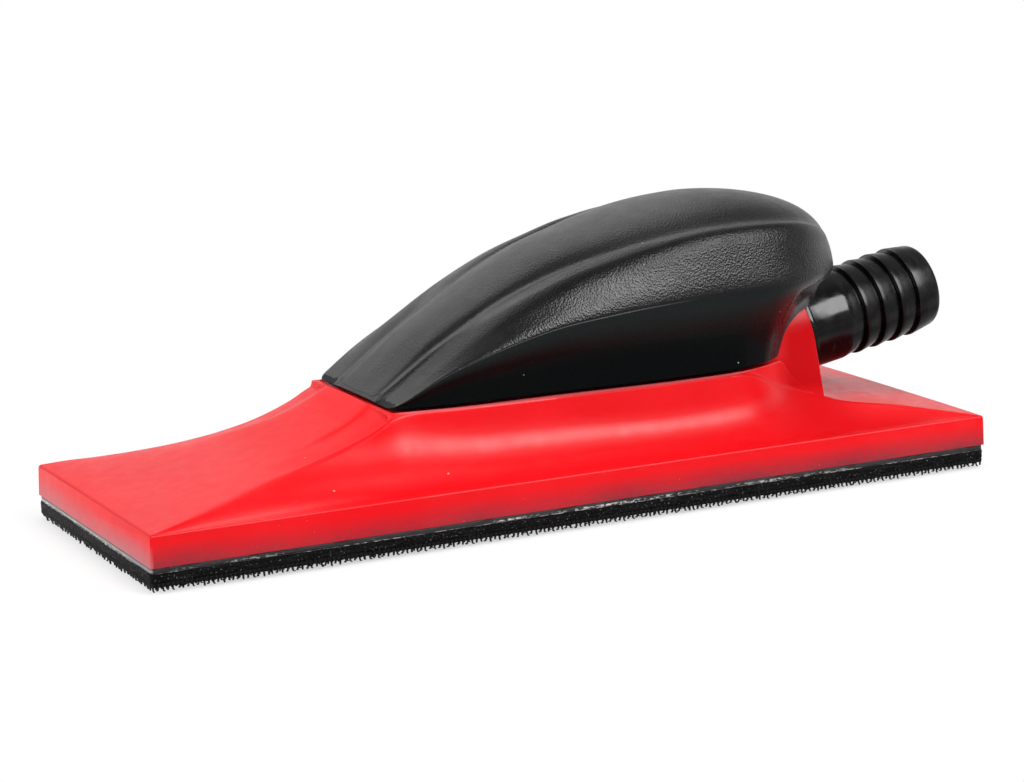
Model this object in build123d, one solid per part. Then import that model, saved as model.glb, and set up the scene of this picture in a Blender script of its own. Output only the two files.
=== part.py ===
from build123d import *
import os
from math import cos, pi, radians, sin, sqrt, tan

# A dust-extracting hand sanding block for 70 x 198 mm hook-backed abrasive strips.
# Frame: X runs along the block, from the blunt front (-X) to the hose end (+X), Y runs
# across it and Z is up.  The origin is the middle of the hook face that holds the strip.

# ---------------------------------------------------------------- driving dimensions, mm
# The pad that holds the strip, counted up from the hook tips
strip_length = 198.0
strip_width = 70.0
hook_tape_height = 1.9
foam_height = 1.9
glue_film = 0.1
plate_height = 1.0
pad_overhang = 0.35          # how far foam and hook tape stand out past the plate
sheet_corner = 1.0

# Red base moulding
flange_height = 6.65         # straight side wall all round the base
flange_draft = 1.5           # degrees, wider at the bottom
ramp_rise = 8.8              # steady climb of the front deck
ramp_kick = 4.4              # extra climb close to the grip
ramp_crown = 2.0             # how far the middle panel stands over the ramp's outer crease
ramp_crease = 20.5           # half width between the outer creases at the grip
ramp_panel = 11.5            # half width of the raised middle panel
ramp_crease_power = 2.4      # how fast the creases run in from the front corners
ramp_kick_power = 6
ramp_crown_power = 2.5
panel_edge_share = 0.8       # share of the crown that the panel's edges reach
panel_bow = 0.25             # extra height of the panel's middle at the grip
crease_step = 0.15           # small step from the side wall up to the deck
front_crease_inset = 0.6     # how far inside the wall the creases end, in front
rear_crease_inset = 1.0      # and behind
seat_height = 26.7           # plane on which the grip sits
lip_width = 1.4              # red lip left showing outside the grip
lip_drop = 0.9
flank_hollow = 3.4           # depth of the hollow curve down the flanks
flank_hollow_rear = 0.5      # share of that hollow left at the foot of the neck
least_hollow = 0.05
rear_deck_height = 17.2      # deck height at the foot of the neck
rear_fall_power = 1.25       # how the rear deck sags towards its edge
rear_panel_share = 0.5       # width of the rear deck's middle panel in that of its creases
least_crown = 0.02           # least rise that keeps a section's middle convex
base_wall = 2.8

# Dust channel and plenum under the base
plenum_rim = 8.0             # solid rim left round the dust channel under the base
channel_depth = 2.5
plenum_lead = 12.0           # how far the plenum reaches out in front of the grip
plenum_tail = 2.0            # how far it ends before the seam does
plenum_flare = 9.0           # how much wider each side is at the floor
plenum_front_slope = 14.0
plenum_rear_slope = 6.0
support_width = 2.0
support_front_offset = 3.0   # supports stand this far off the plenum's two ends
support_rear_offset = 4.0

# Grip cover
grip_front = -39.4
grip_bulge = 45.0            # station of the fullest section
grip_tip = 76.5
grip_tip_rise = 19.3         # how far the rounded tip lies over the seat
grip_rise = 36.4             # top of the crown over the seat
grip_wall = 3.0
grip_waist = 1.2             # hollow of the grip's sides just over the seam
grip_waist_height = 20.0     # side height that gets the full waist; a lower side gets less
grip_shoulder = 0.27         # how far the shoulder bulges, as a share of its own width
crease_wall_share = 0.6      # the hollow's crease moves in by this share of the wall
least_shoulder = 0.15
tip_crown_draw = 0.73        # how the rounded tip draws in crown, crease and widest line
tip_crease_draw = 0.8
tip_widest_draw = 0.93
tip_side_draw = 0.97
seat_clearance = 0.05        # between the base and the grip on it
seam_front = 18.5            # half widths of the seam between grip and base
seam_middle = 21.8
seam_full = 23.2
seam_middle_run = 18.0       # distances of the last two from the grip's front
seam_full_run = 58.0
seam_turn = 38.6             # station where the seam starts to close in
seam_end = 57.6              # station where the seam meets the neck
deck_fall_start = 44.6       # station where the deck starts to fall away round the neck
upstand_margin = 0.3         # how far the upstand stands out past the seam
screw_boss_radius = 4.0
boss_front = -14.0           # stations of the two screw pairs
boss_rear = 30.0
boss_spread = 12.0

# Neck and hose connector, on one tilted axis
axis_tilt = 10.4             # degrees
axis_station = 85.0          # a point on the axis
axis_height = 32.07
neck_face = -18.5            # face of the neck, measured along the axis from that point
neck_radius = 16.2
neck_length = 26.0           # length of the arch that carries the duct
neck_margin = 0.4            # deck left outside the neck at its foot
saddle_gap = 0.15            # between the neck and the grip over it
neck_bore = 10.4
neck_bore_length = 12.0
running_clearance = 0.05
flange_radius = 12.0
flange_length = 3.3
flange_gap = 0.1
flange_relief = 1.0          # room in the rear deck round the flange
flange_relief_depth = 1.5    # and beyond it
turning_room = 0.6           # room round the collar, and in the grip round the flange
collar_radius = 10.5
collar_end = 2.2             # collar ends this far before the first barb,
barb_foot = 0.8              # and the barb's root starts this far before it
barb_radius = 10.5
barb_root = 9.6
barb_count = 4
barb_pitch = 4.86
first_barb = -0.63
tip_land = 2.6               # straight land of the last barb, before the taper
tip_radius = 9.7
tip_chamfer = 0.7
tip_length = 20.15
hose_bore = 8.0
groove_radius = 9.4
groove_land = 1.6            # journal left behind the ring's groove
ring_width = 1.2
ring_radius = 12.2
ring_gap = 0.2               # between the ring and the shoulder it runs against
ring_play = 0.05
seal_section = 1.4
seal_setback = 5.5           # seal groove behind the neck's face
seal_play = 0.2
seal_nip = 0.02              # between seal and bore, before it is squeezed

# Screws that hold the grip down, M3.5 thread-forming
screw_radius = 1.75
screw_head_radius = 3.4
screw_head_height = 2.2
screw_bite = 9.0
screw_hole_clearance = 0.25
screw_thread_clearance = 0.05
screw_socket_radius = 1.4
screw_socket_depth = 1.3

# Dust holes through pad and plate
dust_hole_radius = 4.0
dust_hole_pitch = 36.0
dust_hole_rows = 2
dust_hole_columns = 5
dust_row_spacing = 32.0

overcut = 1.0                # how far a cutting shape runs past the face it cuts

# ------------------------------------------------------------------- levels and outlines
hook_top = hook_tape_height
foam_top = hook_top + foam_height
plate_bottom = foam_top + glue_film
plate_top = plate_bottom + plate_height
base_bottom = plate_top + glue_film
edge_height = base_bottom + flange_height
half_length = strip_length / 2
half_width = strip_width / 2
tip_height = seat_height + grip_tip_rise
draft_spread = flange_height * tan(radians(flange_draft))

axis_direction = Vector(cos(radians(axis_tilt)), 0, sin(radians(axis_tilt)))
axis_plane = Plane(
    origin=(axis_station, 0, axis_height),
    x_dir=(0, 1, 0),
    z_dir=axis_direction,
)
neck_station = axis_station + neck_face * cos(radians(axis_tilt))


def blend(table, x):
    """Smooth value at station x through a short list of (station, value) pairs."""
    if x <= table[0][0]:
        return table[0][1]
    for (x0, v0), (x1, v1) in zip(table, table[1:]):
        if x <= x1:
            t = (x - x0) / (x1 - x0)
            return v0 + (v1 - v0) * t * t * (3 - 2 * t)
    return table[-1][1]


def on_axis(distance):
    """Plane square to the connector axis, at a distance along it."""
    return axis_plane.offset(distance)


def axis_cylinder(radius, start, end):
    """Solid cylinder on the connector axis between two distances along it."""
    return extrude(on_axis(start) * Circle(radius), amount=end - start)


def section(x, edges):
    """Closed face in the cross-plane at station x from edges drawn in Y and Z."""
    return make_face(Wire(edges)).moved(Location((x, 0, 0)))


def line(a, b):
    return Line((0, *a), (0, *b))


def arc(a, middle, b):
    return ThreePointArc((0, *a), (0, *middle), (0, *b))


def mirrored(point):
    return (-point[0], point[1])


def sagged(a, b, sag):
    """Middle of the chord from a to b, moved square to it by sag."""
    dy = b[0] - a[0]
    dz = b[1] - a[1]
    length = sqrt(dy * dy + dz * dz)
    return ((a[0] + b[0]) / 2 + sag * dz / length, (a[1] + b[1]) / 2 - sag * dy / length)


# ------------------------------------------------------------------------ pad and plate
def dust_holes(bottom, top):
    """The dust hole pattern as one set of pins between two levels."""
    pins = extrude(Circle(dust_hole_radius), amount=top - bottom)
    spots = GridLocations(dust_hole_pitch, dust_row_spacing, dust_hole_columns, dust_hole_rows)
    return [Pos(0, 0, bottom) * spot * pins for spot in spots]


def pad_layer(bottom, height, overhang):
    sheet = extrude(Rectangle(strip_length + 2 * overhang, strip_width + 2 * overhang), amount=height)
    sheet = fillet(sheet.edges().filter_by(Axis.Z), sheet_corner)
    return Pos(0, 0, bottom) * sheet - dust_holes(bottom, bottom + height)


hook_tape = pad_layer(0, hook_tape_height, pad_overhang)
foam_pad = pad_layer(hook_top, foam_height, pad_overhang)
foam_glue_film = pad_layer(foam_top, glue_film, 0)
backing_plate = pad_layer(plate_bottom, plate_height, 0)
plate_glue_film = pad_layer(plate_top, glue_film, 0)


# ------------------------------------------------------------------------- base moulding
def deck_section(x, crease, panel, middle, hollow):
    """Cross-section of the base: flange, hollow flanks, outer creases and crowned middle."""
    foot = (half_width, edge_height)
    sill = (half_width, base_bottom + flange_height / 2)
    flank = sagged(foot, crease, -hollow)
    edges = [
        line(mirrored(sill), sill),
        line(sill, foot),
        arc(foot, flank, crease),
        line(crease, panel),
        arc(panel, (0, middle), mirrored(panel)),
        line(mirrored(panel), mirrored(crease)),
        arc(mirrored(crease), mirrored(flank), mirrored(foot)),
        line(mirrored(foot), mirrored(sill)),
    ]
    return section(x, edges)


def ramp_section(t):
    """Front deck at a share t of the way from the front edge to the grip."""
    x = -half_length + t * (grip_front + half_length)
    run_in = half_width - front_crease_inset - ramp_crease
    spread = ramp_crease + run_in * (1 - t) ** ramp_crease_power
    height = edge_height + crease_step + ramp_rise * t + ramp_kick * t ** ramp_kick_power
    ridge = height + ramp_crown * t ** ramp_crown_power * panel_edge_share + least_crown
    middle = ridge + panel_bow * t + least_crown
    return deck_section(x, (spread, height), (ramp_panel, ridge), middle, least_hollow + flank_hollow * t)


seam_table = [
    (grip_front, seam_front),
    (grip_front + seam_middle_run, seam_middle),
    (grip_front + seam_full_run, seam_full),
]


def seam_width(x):
    """Half width of the seam: it swells from the front and closes on the neck in a parabola."""
    closing = max(0, (x - seam_turn) / (seam_end - seam_turn))
    return blend(seam_table, x) - (seam_full - neck_radius) * min(1, closing) ** 2


def seat_section(x):
    """Deck under the grip, with the lip outside the seam; it falls away round the neck's foot."""
    fall = max(0, (x - deck_fall_start) / (neck_station - deck_fall_start))
    edge = seam_width(min(x, deck_fall_start)) + lip_width
    edge = edge + (neck_radius + neck_margin - edge) * fall
    height = seat_height - lip_drop
    height = height + (rear_deck_height - height) * sin(fall * pi / 2)
    lip = (edge - lip_width, height + (lip_drop - seat_clearance) * (1 - fall) + least_crown / 2)
    hollow = flank_hollow * (1 - (1 - flank_hollow_rear) * fall)
    return deck_section(x, (edge, height), lip, lip[1] + least_crown, hollow)


def rear_section(x):
    """Rear deck, falling from the foot of the neck to the rear edge."""
    t = (x - neck_station) / (half_length - neck_station)
    spread = neck_radius + neck_margin + (half_width - rear_crease_inset - neck_radius) * t
    edge = edge_height + crease_step
    height = edge + (rear_deck_height - edge) * (1 - t) ** rear_fall_power
    panel = (spread * rear_panel_share, height + least_crown)
    hollow = least_hollow + flank_hollow * flank_hollow_rear * (1 - t)
    return deck_section(x, (spread, height), panel, panel[1] + least_crown, hollow)


def neck_arch(radius, start, end):
    """Arch-shaped bar on the connector axis: round top, straight legs."""
    leg = neck_radius + axis_height
    outline = Circle(radius) + Pos(0, leg / 2) * Rectangle(2 * radius, leg)
    return extrude(on_axis(start) * Rot(0, 0, 180) * outline, amount=end - start)


foot_outline = Rectangle(strip_length + 2 * draft_spread, strip_width + 2 * draft_spread)
flange = Pos(0, 0, base_bottom) * extrude(foot_outline, amount=flange_height, taper=flange_draft)
above_base = Pos(0, 0, base_bottom + strip_width) * Box(2 * strip_length, 2 * strip_width, 2 * strip_width)
ramp = loft([ramp_section(t) for t in (0, 0.2, 0.45, 0.7, 0.87, 1)])
seat_length = deck_fall_start - grip_front
seat_stations = [grip_front + share * seat_length for share in (0, 0.22, 0.45, 0.7, 0.88, 1)]
seat = loft([seat_section(x) for x in seat_stations])
fall_stations = [deck_fall_start + t * (neck_station - deck_fall_start) for t in (0, 0.3, 0.6, 1)]
fall = loft([seat_section(x) for x in fall_stations])

# Upstand under the back of the grip, following the seam round to the neck
upstand_stations = [seam_turn + share * (seam_end - seam_turn) for share in (0, 0.3, 0.55, 0.8, 1)]
upstand_side = [(x, seam_width(x) + upstand_margin) for x in upstand_stations]
upstand_outline = Polyline(*upstand_side, *[(x, -y) for x, y in reversed(upstand_side)], close=True)
deck_top = seat_height - seat_clearance
below_seat = Pos(0, 0, deck_top - seat_height / 2) * Box(2 * strip_length, 2 * strip_width, seat_height)
upstand = Pos(0, 0, base_bottom) * extrude(make_face(upstand_outline), amount=deck_top - base_bottom)
rear_length = half_length - neck_station
rear_deck = loft([rear_section(neck_station + t * rear_length) for t in (0, 0.25, 0.6, 1)])
arch = neck_arch(neck_radius, neck_face - neck_length, neck_face) & above_base

# The plenum under the pedestal, the shallow channel round it and the duct up to the neck
roof = seat_height - base_wall
channel_half_length = half_length - plenum_rim
channel_half_width = half_width - plenum_rim
channel_level = base_bottom + channel_depth / 2
channel = Pos(0, 0, channel_level) * Box(2 * channel_half_length, 2 * channel_half_width, channel_depth)
plenum_front = grip_front - plenum_lead
plenum_rear = seam_end - plenum_tail
plenum_side = seam_front - base_wall


def plenum_outline(level, start, end, side):
    """Rectangle at a level, between two stations and with a given half width."""
    return Plane.XY.offset(level) * Pos((start + end) / 2, 0) * Rectangle(end - start, 2 * side)


plenum = loft([
    plenum_outline(base_bottom, plenum_front, plenum_rear, plenum_side + plenum_flare),
    plenum_outline(roof, plenum_front + plenum_front_slope, plenum_rear - plenum_rear_slope, plenum_side),
])
duct_radius = neck_radius - base_wall
duct = axis_cylinder(duct_radius, neck_face - neck_length + base_wall, neck_face - neck_bore_length)
duct = duct & above_base

# Relief in the rear deck that lets the connector's flange and collar turn
relief_end = neck_face + flange_length + flange_relief_depth
relief = axis_cylinder(flange_radius + flange_relief, neck_face, relief_end)
relief = relief + axis_cylinder(collar_radius + turning_room, neck_face, first_barb)

# Dust-tight screw seats for the grip
boss_spots = [(x, y) for x in (boss_front, boss_rear) for y in (-boss_spread, boss_spread)]
screw_hole = extrude(Circle(screw_radius + screw_hole_clearance), amount=base_wall + 2 * overcut)
screw_holes = [Pos(x, y, roof - overcut) * screw_hole for x, y in boss_spots]

deck = (ramp + seat + fall + upstand + rear_deck) & below_seat
base_body = flange + deck + arch
base_body = base_body - channel - plenum - duct
journal_bore = axis_cylinder(neck_bore, neck_face - neck_bore_length - overcut, neck_face + overcut)
base_body = base_body - journal_bore
base_body = base_body - relief - screw_holes

# Supports that carry the plate inside the channel
front_support = plenum_front - support_front_offset
rear_support = plenum_rear + support_rear_offset
cross_bar = Box(support_width, 2 * channel_half_width, channel_depth)
for x in (front_support, rear_support):
    base_body = base_body + Pos(x, 0, channel_level) * cross_bar
for start, end in ((-channel_half_length, front_support), (rear_support, channel_half_length)):
    rib = Box(end - start, support_width, channel_depth)
    base_body = base_body + Pos((start + end) / 2, 0, channel_level) * rib


# --------------------------------------------------------------------------- grip cover
# Stations behind the grip's front edge, then half widths where given, then heights over the seat
crown_line = [
    (0, 0.4),
    (7, 6.2),
    (12, 10.5),
    (20.5, 16.2),
    (34, 23.8),
    (51, 30.5),
    (66, 34.2),
    (84.4, grip_rise),
]
crease_line = [
    (0, 10.4, 0.25),
    (7, 11.0, 5.2),
    (12, 11.2, 8.7),
    (20.5, 11.8, 14.0),
    (34, 13.2, 21.3),
    (51, 16.3, 27.2),
    (66, 19.4, 30.1),
    (84.4, 20.9, 31.9),
]
widest_line = [
    (0, seam_front + 0.1, 0.15),
    (7, 21.2, 3.9),
    (12, 22.2, 6.4),
    (20.5, 23.6, 9.7),
    (34, 24.5, 13.2),
    (51, 25.5, 15.9),
    (66, 26.1, 17.0),
    (84.4, 26.3, 17.5),
]
# Lower edge round the tip: angle of the tip's ellipse, half width, height over the seat
tip_edge = [
    (16, 18.4, 0),
    (30, 15.9, 7.8),
    (44, 13.6, 10.6),
    (58, 8.9, 13.1),
    (70, 5.4, 15.9),
    (80, 2.8, 17.9),
]


def grip_outline(step, inset):
    """Corner points of the grip's half section at one entry of the lines above."""
    x = grip_front + crown_line[step][0]
    crown = seat_height + crown_line[step][1] - inset
    crease = (crease_line[step][1] - inset * crease_wall_share, seat_height + crease_line[step][2] - inset)
    widest_height = min(seat_height + widest_line[step][2], crease[1] - least_shoulder)
    widest = (widest_line[step][1] - inset, widest_height)
    seam_height = seat_height - overcut if inset > 0 else seat_height
    seam = (seam_width(x) - inset, seam_height)
    return x, crown, crease, widest, seam


def tip_outline(angle, edge_width, edge_rise, inset):
    """The fullest section, drawn in along an ellipse towards the rounded tip."""
    x, crown, crease, widest, seam = grip_outline(len(crown_line) - 1, inset)
    shrink = cos(radians(angle))
    reach = (grip_tip - inset - grip_bulge) * sin(radians(angle))

    def pulled(point, narrowing, lowering):
        height = tip_height + (point[1] - tip_height) * shrink ** lowering
        return (point[0] * shrink ** narrowing, height)

    crown = pulled((0, crown), 1, tip_crown_draw)[1]
    crease = pulled(crease, tip_side_draw, tip_crease_draw)
    widest = pulled(widest, tip_side_draw, tip_widest_draw)
    seam = (edge_width - inset, seam[1] + edge_rise)
    return grip_bulge + reach, crown, crease, widest, seam


def grip_section(outline):
    x, crown, crease, widest, seam = outline
    shoulder = ((crease[0] + widest[0]) / 2 + (widest[0] - crease[0]) * grip_shoulder,
                (crease[1] + widest[1]) / 2 + (crease[1] - widest[1]) * grip_shoulder)
    waist = sagged(seam, widest, -grip_waist * (widest[1] - seam[1]) / grip_waist_height)
    edges = [
        arc(mirrored(crease), (0, crown), crease),
        arc(crease, shoulder, widest),
        arc(widest, waist, seam),
        line(seam, mirrored(seam)),
        arc(mirrored(seam), mirrored(waist), mirrored(widest)),
        arc(mirrored(widest), mirrored(shoulder), mirrored(crease)),
    ]
    return section(x, edges)


def grip_form(inset, first_step, last_angle):
    """Lofted body of the grip, or of the hollow inside it when inset is above zero."""
    steps = range(first_step, len(crown_line))
    outlines = [grip_outline(step, inset) for step in steps]
    outlines += [tip_outline(*entry, inset) for entry in tip_edge if entry[0] <= last_angle]
    return loft([grip_section(outline) for outline in outlines])


grip_body = grip_form(inset=0, first_step=0, last_angle=80)
grip_hollow = grip_form(inset=grip_wall, first_step=3, last_angle=16)
screw_length = base_wall + screw_bite
boss = extrude(Circle(screw_boss_radius), amount=grip_rise)
bosses = [Pos(x, y, seat_height) * boss for x, y in boss_spots]
boss_hole = extrude(Circle(screw_radius + screw_thread_clearance), amount=screw_bite + 2 * overcut)
boss_holes = [Pos(x, y, seat_height - overcut) * boss_hole for x, y in boss_spots]
saddle = neck_arch(neck_radius + saddle_gap, neck_face - neck_length - saddle_gap, neck_face + overcut)
collar_room = axis_cylinder(flange_radius + turning_room, neck_face - overcut, tip_length)
above_seat = Pos(0, 0, seat_height + grip_rise) * Box(2 * strip_length, 2 * strip_width, 2 * grip_rise)
grip_shell = grip_body - (grip_hollow - bosses) - boss_holes - saddle - collar_room
grip_shell = grip_shell & above_seat


# ------------------------------------------------------------------------ hose connector
profile_plane = Plane(
    origin=axis_plane.origin,
    x_dir=(0, 1, 0),
    z_dir=(sin(radians(axis_tilt)), 0, -cos(radians(axis_tilt))),
)


def turned(points):
    """Solid of revolution about the connector axis from (radius, distance) points."""
    return profile_plane * revolve(make_face(Polyline(*points, close=True)), Axis.Y)


journal_radius = neck_bore - running_clearance
groove_end = neck_face - neck_bore_length - ring_gap
groove_start = groove_end - ring_width
connector_start = groove_start - groove_land
seal_start = neck_face - seal_setback
seal_end = seal_start + seal_section + seal_play
flange_start = neck_face + flange_gap
flange_end = flange_start + flange_length

outline = [
    (hose_bore, connector_start),
    (journal_radius, connector_start),
    (journal_radius, groove_start),
    (groove_radius, groove_start),
    (groove_radius, groove_end),
    (journal_radius, groove_end),
    (journal_radius, seal_start),
    (journal_radius - seal_section, seal_start),
    (journal_radius - seal_section, seal_end),
    (journal_radius, seal_end),
    (journal_radius, flange_start),
    (flange_radius, flange_start),
    (flange_radius, flange_end),
    (collar_radius, flange_end),
    (collar_radius, first_barb - collar_end),
    (barb_root, first_barb - barb_foot),
]
for barb in range(barb_count):
    start = first_barb + barb * barb_pitch
    outline += [(barb_root, start), (barb_radius, start)]
outline += [
    (barb_radius, first_barb + (barb_count - 1) * barb_pitch + tip_land),
    (tip_radius, tip_length - tip_chamfer),
    (tip_radius - tip_chamfer, tip_length),
    (hose_bore, tip_length),
]
hose_connector = turned(outline)

ring_disc = axis_cylinder(ring_radius, groove_start + ring_play, groove_end - ring_play)
ring_hole = axis_cylinder(groove_radius + ring_play, groove_start - overcut, groove_end + overcut)
retaining_ring = ring_disc - ring_hole
seal_spot = Pos(neck_bore - seal_nip - seal_section / 2, (seal_start + seal_end) / 2)
seal_ring = profile_plane * revolve(seal_spot * Circle(seal_section / 2), Axis.Y)

# ------------------------------------------------------------------------------- screws
shank = extrude(Circle(screw_radius), amount=screw_length)
head = Pos(0, 0, -screw_head_height) * extrude(Circle(screw_head_radius), amount=screw_head_height)
socket_outline = RegularPolygon(screw_socket_radius, 6)
socket = Pos(0, 0, -screw_head_height) * extrude(socket_outline, amount=screw_socket_depth)
grip_screw = shank + head - socket
grip_screws = Compound(children=[Pos(x, y, roof) * grip_screw for x, y in boss_spots])

# -------------------------------------------------------------------------------- export
parts = {
    "base_body": base_body,
    "grip_shell": grip_shell,
    "grip_screws": grip_screws,
    "hose_connector": hose_connector,
    "connector_retaining_ring": retaining_ring,
    "connector_seal": seal_ring,
    "plate_glue_film": plate_glue_film,
    "backing_plate": backing_plate,
    "foam_glue_film": foam_glue_film,
    "foam_pad": foam_pad,
    "hook_tape": hook_tape,
}
os.makedirs("parts", exist_ok=True)
for name, solid in parts.items():
    export_step(solid, f"parts/{name}.step")
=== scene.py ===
# %% [markdown]
# # A dust-extracting sanding block
# This lesson dresses a long hand sanding block: a red moulded base on a foam pad with hook
# tape, a black grip shaped like a drop, and a barbed hose connector at the back. The frame
# loads the solids first. Every surface made here sits in that same frame.

# %% Load the frame
import math
import bmesh
import bpy
import numpy as np
from mathutils import Matrix, Vector


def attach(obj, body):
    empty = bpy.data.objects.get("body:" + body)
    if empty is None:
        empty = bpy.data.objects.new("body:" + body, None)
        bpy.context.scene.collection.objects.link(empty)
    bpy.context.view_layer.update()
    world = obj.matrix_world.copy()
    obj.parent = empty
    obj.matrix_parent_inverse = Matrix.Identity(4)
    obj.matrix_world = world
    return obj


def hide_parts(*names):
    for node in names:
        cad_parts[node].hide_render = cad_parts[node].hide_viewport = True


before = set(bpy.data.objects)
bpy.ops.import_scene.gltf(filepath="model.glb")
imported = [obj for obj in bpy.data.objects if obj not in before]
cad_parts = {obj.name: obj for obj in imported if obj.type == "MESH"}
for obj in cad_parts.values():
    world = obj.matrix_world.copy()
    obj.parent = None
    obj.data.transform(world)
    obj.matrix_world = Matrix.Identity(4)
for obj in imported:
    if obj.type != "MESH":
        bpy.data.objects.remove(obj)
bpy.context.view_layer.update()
print("solids:", sorted(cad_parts))

# %% [markdown]
# ## Working in millimetres
# Sizes of a hand tool read best in millimetres, and Blender's unit here is the metre. So each
# surface is worked out in millimetres and scaled once, where it becomes a mesh. A shape is
# a grid of points, and every grid goes through the same helper. It can close the grid round
# its second direction and put flat caps on the ends.

# %% Curves through a table of values
def smooth(table, at):
    """Natural cubic through (station, value) pairs: bending is continuous from pair to pair."""
    x, y = np.array(table, float).T
    h = np.diff(x)
    inner = np.arange(1, len(x) - 1)
    matrix = np.eye(len(x))
    matrix[inner, inner - 1] = h[:-1]
    matrix[inner, inner] = 2 * (h[:-1] + h[1:])
    matrix[inner, inner + 1] = h[1:]
    right = np.zeros(len(x))
    right[inner] = 6 * (np.diff(y[1:]) / h[1:] - np.diff(y[:-1]) / h[:-1])
    bend = np.linalg.solve(matrix, right)
    at = np.clip(np.asarray(at, float), x[0], x[-1])
    k = np.clip(np.searchsorted(x, at) - 1, 0, len(x) - 2)
    a = (x[k + 1] - at) / h[k]
    b = (at - x[k]) / h[k]
    curved = ((a**3 - a) * bend[k] + (b**3 - b) * bend[k + 1]) * h[k] ** 2 / 6
    return a * y[k] + b * y[k + 1] + curved


def easy(table, at):
    """Cubic through (station, value) pairs that never overshoots: slopes are weighted means."""
    x, y = np.array(table, float).T
    h = np.diff(x)
    d = np.diff(y) / h
    same = d[:-1] * d[1:] > 0
    w1 = 2 * h[1:] + h[:-1]
    w2 = h[1:] + 2 * h[:-1]
    safe = np.where(same, d[:-1] * d[1:], 1)
    inner = np.where(same, (w1 + w2) * safe / (w1 * d[1:] + w2 * d[:-1] + 1e-12 * ~same), 0)
    slope = np.concatenate([[d[0]], inner, [d[-1]]])
    at = np.clip(np.asarray(at, float), x[0], x[-1])
    k = np.clip(np.searchsorted(x, at) - 1, 0, len(x) - 2)
    t = (at - x[k]) / h[k]
    return (
        y[k] * (2 * t**3 - 3 * t**2 + 1) + h[k] * slope[k] * (t**3 - 2 * t**2 + t)
        + y[k + 1] * (3 * t**2 - 2 * t**3) + h[k] * slope[k + 1] * (t**3 - t**2)
    )


def step(low, high, value):
    """Rises from 0 at low to 1 at high, level at both ends."""
    t = np.clip((value - low) / (high - low), 0, 1)
    return t * t * (3 - 2 * t)


def across(keys, knots, fine):
    """Carries a smooth cubic through key rows: keys is rows x stations x 3, knots its spacing."""
    unit = np.eye(len(knots))
    weights = np.stack([smooth(np.stack([knots, row], 1), fine) for row in unit], 1)
    return np.einsum("fr,rsc->fsc", weights, keys)


# %% Meshes from a grid of points
def grid_faces(rows, columns, around):
    """Quads of a grid of rows x columns points; around joins the last column to the first."""
    index = np.arange(rows * columns).reshape(rows, columns)
    if around:
        index = np.concatenate([index, index[:, :1]], 1)
    corners = (index[:-1, :-1], index[:-1, 1:], index[1:, 1:], index[1:, :-1])
    return np.stack(corners, -1).reshape(-1, 4).tolist()


def surface(name, points, around=False, caps=False, sharp=None):
    """Makes one mesh from a grid of points in millimetres, with flat end caps where asked."""
    rows, columns = points.shape[:2]
    faces = grid_faces(rows, columns, around)
    if caps:
        faces.append(list(range(columns))[::-1])
        faces.append(list(range((rows - 1) * columns, rows * columns)))
    mesh = bpy.data.meshes.new(name)
    mesh.from_pydata((points.reshape(-1, 3) / 1000).tolist(), [], faces)
    return finished(name, mesh, sharp)


def finished(name, mesh, sharp=None):
    """Merges doubled points, turns the faces outwards and shades them smooth up to an angle."""
    doubled, no_length = 2e-6, 1e-6
    work = bmesh.new()
    work.from_mesh(mesh)
    bmesh.ops.remove_doubles(work, verts=work.verts, dist=doubled)
    bmesh.ops.dissolve_degenerate(work, edges=work.edges, dist=no_length)
    bmesh.ops.recalc_face_normals(work, faces=work.faces)
    work.to_mesh(mesh)
    work.free()
    mesh.polygons.foreach_set("use_smooth", np.ones(len(mesh.polygons), bool))
    if sharp:
        mesh.set_sharp_from_angle(angle=math.radians(sharp))
    piece = bpy.data.objects.new(name, mesh)
    bpy.context.collection.objects.link(piece)
    print(name, len(mesh.polygons), "faces", [round(v * 1000, 1) for v in piece.dimensions])
    return piece

# %% [markdown]
# ## The levels of the block
# The pad is a stack of sheets, and the red base stands on them. The hose connector turns
# about one tilted axis. These few numbers are shared by every piece, so they come first.

# %% Shared sizes
half_length = 99.0
half_width = 35.0
tape_top = 1.9
foam_top = 3.8
plate_bottom = 3.9
plate_top = 4.9
base_bottom = 5.0
edge_height = 11.65
seat_height = 26.7
grip_front = -39.4
tilt = math.radians(10.4)
axis_point = np.array([85.0, 0.0, 32.07])
axis_along = np.array([math.cos(tilt), 0.0, math.sin(tilt)])
axis_up = np.array([-math.sin(tilt), 0.0, math.cos(tilt)])
neck_face = -18.5
neck_radius = 16.2


def axis_level(x):
    """Height of the connector's axis over station x."""
    return axis_point[2] + (x - axis_point[0]) * math.tan(tilt)

# %% [markdown]
# ## The seam between grip and base
# Seen from above the grip is a drop: it starts with a blunt front that has small rounded
# corners, swells, and closes on the neck. One curve gives its half width, and both the
# grip's lower edge and the red lip that frames it are measured from it.

# %% Seam line
seam_table = [(-39.4, 19.2), (-34.8, 19.9), (-24, 21.3), (-10, 21.7), (2, 22.1), (15.5, 22.9),
              (23, 23.2), (32, 23.2), (39.6, 22.9), (46, 21.9), (52.5, 19.2), (57.6, 16.2)]


def seam_half_width(x):
    """Half width of the seam at station x: the smooth curve through its table."""
    return smooth(seam_table, x)


print("seam", grip_front, "to", seam_table[-1][0], "widest", max(row[1] for row in seam_table))

# %% [markdown]
# ## The grip
# The grip is one moulding with a raised middle panel, a soft line where the panel ends,
# a full shoulder outside it, a parting line at its widest and a hollow flank that runs down
# to the seam. Those features are long curves, so the form is a set of lengthwise rows.
# A smooth cubic is carried across them at every station. Past the fullest station all rows
# draw in together on an ellipse and meet in the rounded tip.

# %% Lines that shape the grip
# stations of the fullest section and of the tip
bulge_station = 45.0
tip_station = 76.9
tip_height = 46.0
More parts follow.
